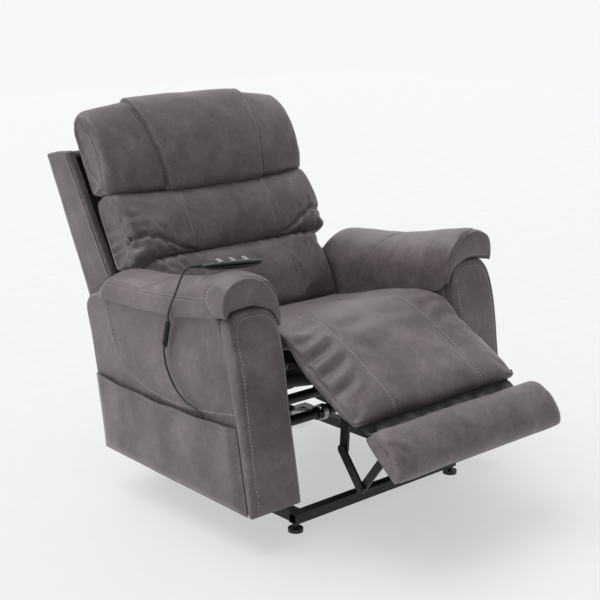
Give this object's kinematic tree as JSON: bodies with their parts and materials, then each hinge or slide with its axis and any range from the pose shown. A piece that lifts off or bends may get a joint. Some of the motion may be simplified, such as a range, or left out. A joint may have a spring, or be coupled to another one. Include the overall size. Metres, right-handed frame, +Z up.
{
  "type": "lift recliner chair",
  "caption": "Power lift recliner with padded arms, a three-roll leaning back, a leg pad and footrest on links, a side pocket and a corded handset.",
  "frame": {"origin": "on the floor under the middle of the chair's bounding box", "axes": "+Z up, the sitter faces -Y, the right arm with the pocket is on the -X side"},
  "size_m": [0.9436, 1.3374, 0.9773],
  "materials": {
    "upholstery": "mottled taupe grey, soft satin sheen",
    "lining": "matt",
    "black_steel": "satin powder coat",
    "zinc_steel": "satin",
    "black_plastic": "matt",
    "handset_plastic": "satin",
    "button_plastic": "satin",
    "cord_rubber": "satin",
    "bumper_rubber": "matt"
  },
  "bodies": {
    "base": {"base_front_tube": "black_steel", "base_rear_tube": "black_steel", "base_side_rails": "black_steel", "base_pivot_brackets": "black_steel", "levelling_feet": "black_plastic"},
    "lift_arm": {"lift_arms": "black_steel", "lift_cross_tube": "black_steel"},
    "lift_strut": {"lift_struts": "black_steel"},
    "lift_motor": {"lift_motor": "black_plastic"},
    "lift_rod": {"lift_rod": "zinc_steel"},
    "chassis": {"chassis_plates": "black_steel", "chassis_cross_tubes": "black_steel", "arm_box_left": "upholstery", "arm_box_right": "upholstery", "arm_front_panel_left": "upholstery", "arm_front_panel_right": "upholstery", "arm_pad_left": "upholstery", "arm_pad_right": "upholstery", "side_pocket": "upholstery", "arm_bolts": "zinc_steel", "control_box": "black_plastic", "power_inlet": "black_plastic", "cord_grommet": "black_plastic", "handset_shell_lower": "handset_plastic", "handset_shell_upper": "handset_plastic", "handset_strain_relief": "cord_rubber", "handset_cord_upper": "cord_rubber", "handset_cord_curl": "cord_rubber", "handset_cord_lower": "cord_rubber"},
    "seat": {"seat_side_rails": "black_steel", "seat_cross_rails": "black_steel", "seat_springs": "zinc_steel", "seat_cushion": "upholstery"},
    "recline_motor": {"recline_motor": "black_plastic"},
    "recline_rod": {"recline_rod": "zinc_steel"},
    "legrest_motor": {"legrest_motor": "black_plastic"},
    "legrest_rod": {"legrest_rod": "zinc_steel"},
    "chaise": {"chaise_board": "black_steel", "chaise_pad": "upholstery", "gap_flap": "lining"},
    "upper_links": {"upper_links": "black_steel"},
    "lower_links": {"lower_links": "black_steel"},
    "footrest": {"footrest_board": "black_steel", "footrest_pad": "upholstery", "link_bumpers": "bumper_rubber"},
    "back": {"back_posts": "black_steel", "back_cross_rails": "black_steel", "back_rear_panel": "upholstery", "back_wings": "upholstery", "back_top_panel": "upholstery", "back_cushion_middle": "upholstery", "back_cushion_lower": "upholstery"},
    "headrest": {"headrest_bracket": "black_steel", "headrest_cushion": "upholstery"},
    "button_1": {"handset_button_1": "button_plastic"},
    "button_2": {"handset_button_2": "button_plastic"},
    "button_3": {"handset_button_3": "button_plastic"},
    "button_4": {"handset_button_4": "button_plastic"},
    "button_5": {"handset_button_5": "button_plastic"},
    "button_6": {"handset_button_6": "button_plastic"}
  },
  "joints": [
    {"name": "lift", "type": "hinge", "parent": "base", "child": "lift_arm", "pos_m": [0, -0.1467, 0.078], "axis": [1, 0, 0], "range_deg": [0, 52]},
    {"name": "chassis_tilt", "type": "hinge", "parent": "lift_arm", "child": "chassis", "pos_m": [0, 0.2183, 0.098], "axis": [1, 0, 0], "range_deg": [-24.05, 0]},
    {"name": "strut_swing", "type": "hinge", "parent": "base", "child": "lift_strut", "pos_m": [0, -0.2117, 0.0835], "axis": [1, 0, 0], "range_deg": [0, 60.27]},
    {"name": "lift_motor_swivel", "type": "hinge", "parent": "base", "child": "lift_motor", "pos_m": [0, 0.2733, 0.08], "axis": [1, 0, 0], "range_deg": [0, 2.34]},
    {"name": "lift_rod_slide", "type": "slide", "parent": "lift_motor", "child": "lift_rod", "axis": [0, -0.9609, 0.2769], "range_m": [0, 0.106]},
    {"name": "back_recline", "type": "hinge", "parent": "seat", "child": "back", "pos_m": [0, 0.1783, 0.395], "axis": [1, 0, 0], "range_deg": [-26, 16]},
    {"name": "seat_tilt", "type": "hinge", "parent": "chassis", "child": "seat", "pos_m": [0, -0.1617, 0.33], "axis": [1, 0, 0], "range_deg": [-6.55, 4.05]},
    {"name": "recline_motor_swivel", "type": "hinge", "parent": "seat", "child": "recline_motor", "pos_m": [0.09, -0.1317, 0.29], "axis": [1, 0, 0], "range_deg": [-0.2684, 0.1844]},
    {"name": "recline_rod_slide", "type": "slide", "parent": "recline_motor", "child": "recline_rod", "axis": [0, 0.9998, 0.0199], "range_m": [-0.0455, 0.0285]},
    {"name": "headrest_tilt", "type": "hinge", "parent": "back", "child": "headrest", "pos_m": [0, 0.37481, 0.73901], "axis": [1, 0, 0], "range_deg": [0, 25]},
    {"name": "legrest", "type": "hinge", "parent": "seat", "child": "chaise", "pos_m": [0, -0.3067, 0.435], "axis": [-1, 0, 0], "range_deg": [-52, 34]},
    {"name": "footrest_angle", "type": "hinge", "parent": "chaise", "child": "footrest", "pos_m": [0, -0.5237, 0.297], "axis": [-1, 0, 0], "range_deg": [-4.21, 2.77]},
    {"name": "upper_link_swing", "type": "hinge", "parent": "chaise", "child": "upper_links", "pos_m": [0, -0.4317, 0.24], "axis": [-1, 0, 0], "range_deg": [-2.5, 1.65]},
    {"name": "lower_link_swing", "type": "hinge", "parent": "footrest", "child": "lower_links", "pos_m": [0, -0.5717, 0.265], "axis": [-1, 0, 0], "range_deg": [-2.39, 3.63]},
    {"name": "legrest_motor_swivel", "type": "hinge", "parent": "seat", "child": "legrest_motor", "pos_m": [-0.09, 0.0383, 0.25], "axis": [-1, 0, 0], "range_deg": [-0.71, 1.05]},
    {"name": "legrest_rod_slide", "type": "slide", "parent": "legrest_motor", "child": "legrest_rod", "axis": [0, -0.9471, 0.321], "range_m": [-0.0565, 0.037]},
    {"name": "button_1_press", "type": "slide", "parent": "chassis", "child": "button_1", "axis": [0, 0, -1], "range_m": [0, 0.0015], "stiffness_N_per_m": 300},
    {"name": "button_2_press", "type": "slide", "parent": "chassis", "child": "button_2", "axis": [0, 0, -1], "range_m": [0, 0.0015], "stiffness_N_per_m": 300},
    {"name": "button_3_press", "type": "slide", "parent": "chassis", "child": "button_3", "axis": [0, 0, -1], "range_m": [0, 0.0015], "stiffness_N_per_m": 300},
    {"name": "button_4_press", "type": "slide", "parent": "chassis", "child": "button_4", "axis": [0, 0, -1], "range_m": [0, 0.0015], "stiffness_N_per_m": 300},
    {"name": "button_5_press", "type": "slide", "parent": "chassis", "child": "button_5", "axis": [0, 0, -1], "range_m": [0, 0.0015], "stiffness_N_per_m": 300},
    {"name": "button_6_press", "type": "slide", "parent": "chassis", "child": "button_6", "axis": [0, 0, -1], "range_m": [0, 0.0015], "stiffness_N_per_m": 300}
  ],
  "couplings": [
    {"joint": "chassis_tilt", "follows": "lift", "ratio": -0.46154},
    {"joint": "strut_swing", "follows": "lift", "ratio": 1.158},
    {"joint": "lift_motor_swivel", "follows": "lift", "ratio": 0.044},
    {"joint": "lift_rod_slide", "follows": "lift", "m_per_rad": 0.11548},
    {"joint": "seat_tilt", "follows": "back_recline", "ratio": 0.25},
    {"joint": "recline_motor_swivel", "follows": "back_recline", "ratio": 0.0084},
    {"joint": "recline_rod_slide", "follows": "back_recline", "m_per_rad": 0.09869},
    {"joint": "footrest_angle", "follows": "legrest", "ratio": 0.08},
    {"joint": "upper_link_swing", "follows": "legrest", "ratio": 0.0472},
    {"joint": "lower_link_swing", "follows": "legrest", "ratio": -0.0688},
    {"joint": "legrest_motor_swivel", "follows": "legrest", "ratio": -0.0193},
    {"joint": "legrest_rod_slide", "follows": "legrest", "m_per_rad": 0.06112}
  ]
}
